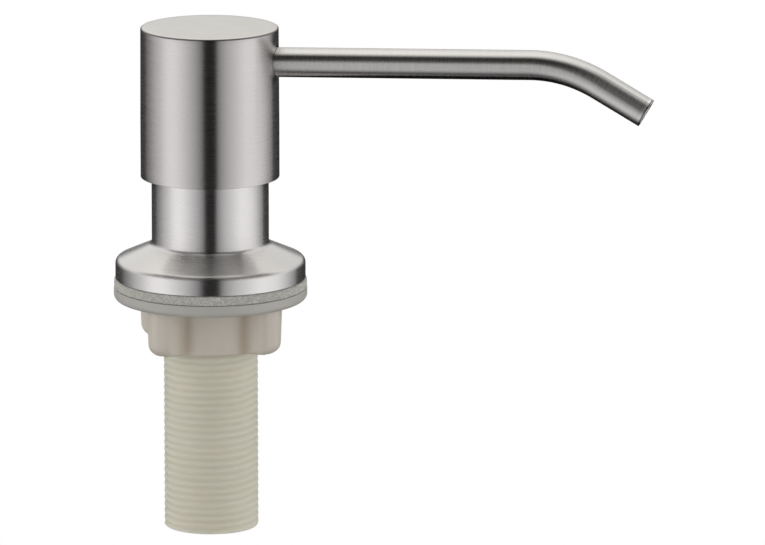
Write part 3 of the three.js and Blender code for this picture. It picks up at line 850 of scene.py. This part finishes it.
place(
    turned(
        "cylinder_barrel",
        [
            [7.0, -21.0, 0.2], [7.0, 35.4, 0.3], [11.6, 35.4, 0.3], [11.6, 33.4, 0.3], [8.2, 33.4, 0.4],
            [8.2, -24.0, 0.6], [4.8, -28.0, 0.6], [4.8, -40.0, 0.4], [3.3, -40.0, 0.3], [3.3, -29.5, 0.1],
            [1.6, -29.5, 0.1], [1.6, -27.5, 0.1], [3.4, -25.7, 0.1], [3.4, -21.0, 0.2],
        ],
        segs=128,
    ),
    "cartridge", "pump_cylinder", CYLINDER_PLASTIC,
)
place(ball("inlet_check_ball", 2.4, -25.2), "inlet_valve", "inlet_ball", SPRING_STEEL)


def cage():
    ob = turned(
        "ball_cage_ring",
        [[3.0, -20.7, 0.1], [6.7, -20.7, 0.2], [6.7, -18.4, 0.3], [4.0, -18.4, 0.3], [4.0, -15.9, 0.4], [3.0, -15.9, 0.3]],
        segs=96,
    )
    verts = [(x, y, z) for x in (-3.4, 3.4) for y in (-0.7, 0.7) for z in (-20.7, -19.3)]
    faces = [(0, 1, 3, 2), (4, 6, 7, 5), (0, 4, 5, 1), (2, 3, 7, 6), (0, 2, 6, 4), (1, 5, 7, 3)]
    bar = add_mesh("cage_bar", verts, faces)
    face_out(bar)
    boolean(ob, bar, "UNION")
    return ob


place(cage(), "cartridge", "ball_cage", PUMP_PLASTIC)
place(
    turned("suction_tube", [[2.0, -63.5, 0.15], [3.0, -63.5, 0.15], [3.0, -29.8, 0.15], [2.0, -29.8, 0.15]], segs=64),
    "cartridge", "dip_tube", TUBE_PLASTIC,
)


def spring():
    """Closed, ground ends, and open coils between."""
    r, wire, z0, z1 = 4.85, 0.5, -17.6, 18.2
    turns, per, sides = 8.5, 40, 16
    n = int(turns * per)
    verts, faces = [], []
    for i in range(n + 1):
        t = i / n
        a = 2 * math.pi * turns * t
        # the first and last turn lie nearly flat
        e = 1.0 / turns
        rise = lambda x: 0.0 if x <= 0 else x
        free = (t - 0.75 * e) / (1 - 1.5 * e)
        free = min(1.0, max(0.0, free))
        flat_lo, flat_hi = 1.02 * min(t, 0.75 * e) / e, 1.02 * max(0.0, t - (1 - 0.75 * e)) / e
        z = z0 + flat_lo + flat_hi + (z1 - z0 - 2 * 1.02 * 0.75) * free
        c = Vector((r * math.cos(a), r * math.sin(a), z))
        out = Vector((math.cos(a), math.sin(a), 0))
        for j in range(sides):
            b = 2 * math.pi * j / sides
            v = c + out * (wire * math.cos(b)) + Vector((0, 0, 1)) * (wire * math.sin(b))
            v.z = min(max(v.z, z0 - 0.42), z1 + 0.42)
            verts.append(tuple(v))
    for i in range(n):
        for j in range(sides):
            k = (j + 1) % sides
            faces.append((i * sides + j, i * sides + k, (i + 1) * sides + k, (i + 1) * sides + j))
    faces.append(tuple(range(sides)))
    faces.append(tuple(range(n * sides, (n + 1) * sides))[::-1])
    ob = add_mesh("coil_spring", verts, faces, 60)
    face_out(ob)
    return ob


coil = place(spring(), "cartridge", "return_spring", SPRING_STEEL)
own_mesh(coil)

# ------------------------------------------------------------------ plunger
place(
    turned(
        "hollow_stem",
        [
            [1.6, 17.0, 0.1], [2.7, 17.0, 0.3], [2.7, 29.0, 0.1], [4.0, 29.0, 0.3], [4.0, 58.3, 0.3],
            [2.9, 58.3, 0.2], [2.9, 53.3, 0.1], [1.6, 52.0, 0.1],
        ],
        segs=96,
    ),
    "plunger", "pump_stem", PUMP_PLASTIC,
)
place(
    turned(
        "two_lip_piston",
        [
            [3.0, 22.0, 0.1], [5.0, 22.0, 0.1], [5.6, 23.2, 0.1], [6.4, 22.2, 0.05], [6.7, 22.6, 0.1],
            [5.8, 24.6, 0.4], [5.8, 26.7, 0.4], [6.7, 28.3, 0.1], [6.4, 28.7, 0.05], [3.0, 28.7, 0.2],
        ],
        segs=96,
    ),
    "plunger", "piston", PISTON_PLASTIC,
)
place(
    turned(
        "spring_cup",
        [[3.0, 16.8, 0.2], [4.0, 16.8, 0.3], [4.0, 19.0, 0.2], [5.6, 19.0, 0.2], [5.6, 21.7, 0.3], [3.0, 21.7, 0.1]],
        segs=96,
    ),
    "plunger", "piston_retainer", PUMP_PLASTIC,
)
place(ball("outlet_check_ball", 2.2, 53.95), "outlet_valve", "outlet_ball", SPRING_STEEL)


# ------------------------------------------------------------------ core and seals in the head
def core():
    ob = turned(
        "head_insert",
        [[0, 67.3], [16.2, 67.3, 0.4], [16.2, 54.8, 0.2], [17.35, 54.8, 0.3], [17.35, 69.3, 0.4], [0, 69.3]],
        segs=144, longest=6,
    )
    boss = turned("boss", [[0, 55.4], [7.2, 55.4, 0.3], [7.2, 68.3], [0, 68.3]], segs=96, longest=6)
    boolean(ob, boss, "UNION")
    arm_verts, arm_faces, seg = [], [], 72
    for x in (2.0, 16.6):
        for k in range(seg):
            a = 2 * math.pi * k / seg
            arm_verts.append((x, 5.8 * math.cos(a), SPOUT_Z + 5.8 * math.sin(a)))
    for k in range(seg):
        arm_faces.append((k, (k + 1) % seg, seg + (k + 1) % seg, seg + k))
    arm_faces += [tuple(range(seg))[::-1], tuple(range(seg, 2 * seg))]
    arm = add_mesh("arm", arm_verts, arm_faces)
    face_out(arm)
    boolean(ob, arm, "UNION")
    socket = turned(
        "socket",
        [[0, 54.0], [4.3, 54.0], [4.3, 56.2], [5.6, 56.2], [5.6, 57.7], [4.3, 57.7], [4.3, 58.6], [3.2, 58.6], [3.2, 65.0], [0, 65.0]],
        segs=96, radius=0, longest=6,
    )
    boolean(ob, socket)
    boolean(ob, rod("spout_hole", 4.3, 7.0, 30))
    boolean(ob, rod("passage", 2.2, 2.0, 12.0))
    boolean(ob, rod("groove", 5.2, 10.0, 11.6))
    stop = turned("stop", [[0, 57.7], [1.0, 57.7, 0.3], [1.0, 66.0], [0, 66.0]], segs=32, longest=6)
    boolean(ob, stop, "UNION")
    return ob


place(core(), "head", "head_core", PUMP_PLASTIC)
place(torus("stem_o_ring", 4.95, 0.55, 56.95), "head", "stem_seal", SEAL_RUBBER)


def spout_seal():
    ob = torus("spout_o_ring", 4.75, 0.42, 0.0)
    turn = Matrix.Translation((0, 0, SPOUT_Z * MM)) @ Matrix.Rotation(-TILT, 4, "Y") @ Matrix.Translation((10.8 * MM, 0, 0)) @ Matrix.Rotation(math.pi / 2, 4, "Y")
    ob.data.transform(turn)
    return ob


place(spout_seal(), "head", "spout_seal", SEAL_RUBBER)

# ------------------------------------------------------------------ camera
AZ, PITCH, DIST = math.radians(11.0), math.radians(12.2), 2.300
RIGHT = Vector((math.cos(AZ), math.sin(AZ), 0))
TOWARD = Vector((math.sin(AZ) * math.cos(PITCH), -math.cos(AZ) * math.cos(PITCH), math.sin(PITCH)))
TARGET = RIGHT * 0.0463 + Vector((0, 0, 0.00363))
cam = bpy.data.cameras.new("camera")
cam.lens = 402.0
cam.sensor_width = 36.0
cam.clip_start, cam.clip_end = 0.1, 50
cam_ob = bpy.data.objects.new("camera", cam)
bpy.context.scene.collection.objects.link(cam_ob)
cam_ob.location = TARGET + TOWARD * DIST
cam_ob.rotation_euler = (cam_ob.location - TARGET).to_track_quat("Z", "Y").to_euler()
bpy.context.scene.camera = cam_ob

# ------------------------------------------------------------------ studio
scene = bpy.context.scene
scene.view_settings.view_transform = "Standard"
scene.view_settings.look = "None"
scene.view_settings.exposure = 0.0
scene.view_settings.gamma = 1.0


def studio():
    """A white studio tent as the surroundings: a dark slot on the photographer's side, a dark lower back
    and a dark patch overhead, which satin metal shows as dark bands between bright ones."""
    world = bpy.data.worlds.new("studio")
    scene.world = world
    world.use_nodes = True
    t = world.node_tree
    t.nodes.clear()

    def n(kind, **kw):
        node = t.nodes.new("ShaderNode" + kind)
        for k, v in kw.items():
            setattr(node, k, v)
        return node

    def put(sock, v):
        if hasattr(v, "links"):
            t.links.new(v, sock)
        else:
            sock.default_value = v

    def m(op, a, b=0.0, c=0.0):
        node = n("Math", operation=op)
        put(node.inputs[0], a)
        put(node.inputs[1], b)
        put(node.inputs[2], c)
        return node.outputs[0]

    def step(v, lo, hi, a=0.0, b=1.0):
        """From a to b as v goes from lo to hi, smoothly."""
        node = n("MapRange", interpolation_type="SMOOTHSTEP")
        put(node.inputs["Value"], v)
        flip = lo > hi
        put(node.inputs["From Min"], min(lo, hi))
        put(node.inputs["From Max"], max(lo, hi))
        put(node.inputs["To Min"], b if flip else a)
        put(node.inputs["To Max"], a if flip else b)
        return node.outputs["Result"]

    co = n("TexCoord")
    sep = n("SeparateXYZ")
    t.links.new(co.outputs["Generated"], sep.inputs[0])
    x, y, z = sep.outputs
    # azimuth in degrees from the direction of the camera: positive to the picture's right
    fx, fy = math.sin(AZ), -math.cos(AZ)
    fwd = m("ADD", m("MULTIPLY", x, fx), m("MULTIPLY", y, fy))
    side = m("ADD", m("MULTIPLY", x, math.cos(AZ)), m("MULTIPLY", y, math.sin(AZ)))
    az = m("MULTIPLY", m("ARCTAN2", side, fwd), 180 / math.pi)
    el = m("MULTIPLY", m("ARCSINE", z), 180 / math.pi)
    abs_az = m("ABSOLUTE", az)

    def table(v, lo, hi, rows):
        """A level read from rows of (angle, level)."""
        node = n("ValToRGB")
        cr = node.color_ramp
        cr.interpolation = "LINEAR"
        rows = [((k - lo) / (hi - lo), q / 2.0) for k, q in rows]
        cr.elements[0].position, cr.elements[-1].position = rows[0][0], rows[-1][0]
        for e, (_, q) in ((cr.elements[0], rows[0]), (cr.elements[-1], rows[-1])):
            e.color = (q, q, q, 1)
        for k, q in rows[1:-1]:
            cr.elements.new(k).color = (q, q, q, 1)
        fac = n("MapRange")
        put(fac.inputs["Value"], v)
        fac.inputs["From Min"].default_value = lo
        fac.inputs["From Max"].default_value = hi
        put(node.inputs["Fac"], fac.outputs["Result"])
        return m("MULTIPLY", node.outputs["Color"], 2.0)

    def blend(a, b, f):
        return m("ADD", m("MULTIPLY", a, m("SUBTRACT", 1.0, f)), m("MULTIPLY", b, f))

    # two tall soft boxes, brightest at about 67 degrees to each side, with a black gap at the camera
    # and black flags behind
    a_lev = table(az, -180, 180, [
        (-180, 0.02), (-133, 0.03), (-129, 0.18), (-118, 0.29), (-109, 0.455), (-100, 0.65), (-93, 0.78), (-86, 0.96),
        (-80, 1.13), (-73, 1.25), (-64, 1.28), (-56, 1.235), (-45, 1.05), (-34, 0.84), (-24, 0.63), (-14, 0.36),
        (-11.5, 0.27), (-8, 0.02), (11.5, 0.02), (14.5, 0.34), (20.5, 0.52), (30.7, 0.765), (41, 0.92), (51.8, 1.08),
        (63, 1.25), (75, 1.22), (88, 1.12), (103, 0.80), (120, 0.41), (126, 0.36), (130, 0.03), (180, 0.02),
    ])
    # in front: black between the soft boxes and the bright ceiling, and a dark table edge below
    e_lev = table(el, -90, 90, [
        (-90, 0.35), (-86, 0.4), (-80, 0.1), (-72, 0.04), (-64, 0.08), (-56, 0.3), (-46, 0.7), (-36, 0.95), (-28, 1.0),
        (2, 1.0), (9, 0.85), (16, 0.5), (22, 0.2), (30, 0.08), (50, 0.03), (57, 0.08), (64, 0.5), (72, 0.97), (90, 1.22),
    ])
    pole = m("MAXIMUM", step(el, 72, 88), step(el, -62, -74))
    front = m("MULTIPLY", blend(a_lev, 1.0, pole), e_lev)
    top = table(el, -90, 90, [(-90, 0.9), (5, 0.92), (36, 0.95), (58, 1.25), (90, 1.25)])
    rear = m("MULTIPLY", blend(a_lev, top, step(el, 3, 14)), step(el, -62, -42))
    rear = m("MULTIPLY", rear, step(az, 100, 140, 1.0, 0.9))
    level = blend(front, rear, step(abs_az, 84, 108))
    bg = n("Background")
    comb = n("CombineColor")
    put(comb.inputs[0], m("MULTIPLY", level, 1.0))
    put(comb.inputs[1], m("MULTIPLY", level, 0.995))
    put(comb.inputs[2], m("MULTIPLY", level, step(el, -20, 45, 1.0, 0.955)))  # cooler from below, warmer above
    t.links.new(comb.outputs[0], bg.inputs["Color"])
    bg.inputs["Strength"].default_value = 1.02
    white = n("Background")
    white.inputs["Color"].default_value = (1, 1, 1, 1)
    white.inputs["Strength"].default_value = 1.0
    lp = n("LightPath")
    mix = n("MixShader")
    t.links.new(lp.outputs["Is Camera Ray"], mix.inputs[0])
    t.links.new(bg.outputs[0], mix.inputs[1])
    t.links.new(white.outputs[0], mix.inputs[2])
    out = n("OutputWorld")
    t.links.new(mix.outputs[0], out.inputs[0])


studio()


def fill(name, az, el, strength, spread, colour=(1, 1, 1)):
    """Soft light that only dull surfaces pick up, from az degrees to the right of the camera and el above it."""
    light = bpy.data.lights.new(name, "SUN")
    light.energy = strength
    light.angle = math.radians(spread)
    light.color = colour
    ob = bpy.data.objects.new(name, light)
    scene.collection.objects.link(ob)
    a, e = math.radians(az) + AZ, math.radians(el)
    d = Vector((math.sin(a) * math.cos(e), -math.cos(a) * math.cos(e), math.sin(e)))
    ob.rotation_euler = d.to_track_quat("Z", "Y").to_euler()
    ob.location = d * 2
    ob.visible_glossy = False


fill("fill_left", -62, 14, 1.15, 70)
fill("fill_right", 62, 12, 1.05, 70)
fill("fill_front", 0, 20, 0.2, 90)


def floor():
    """A pale floor under the shank's end, seen from above only."""
    me = bpy.data.meshes.new("floor")
    s, z = 6.0, -0.0664
    me.from_pydata([(-s, -s, z), (s, -s, z), (s, s, z), (-s, s, z)], [], [(0, 1, 2, 3)])
    ob = bpy.data.objects.new("floor", me)
    scene.collection.objects.link(ob)
    mat = bpy.data.materials.new("floor_pale")
    mat.use_nodes = True
    t = mat.node_tree
    t.nodes.clear()
    out = t.nodes.new("ShaderNodeOutputMaterial")
    e = t.nodes.new("ShaderNodeEmission")
    e.inputs["Color"].default_value = (1, 1, 1, 1)
    tr = t.nodes.new("ShaderNodeBsdfTransparent")
    g = t.nodes.new("ShaderNodeNewGeometry")
    mix = t.nodes.new("ShaderNodeMixShader")
    t.links.new(g.outputs["Backfacing"], mix.inputs[0])
    t.links.new(e.outputs[0], mix.inputs[1])
    t.links.new(tr.outputs[0], mix.inputs[2])
    t.links.new(mix.outputs[0], out.inputs["Surface"])
    me.materials.append(mat)
    ob.visible_diffuse = False
    ob.visible_glossy = False
    ob.visible_transmission = False
    ob.visible_shadow = False


floor()
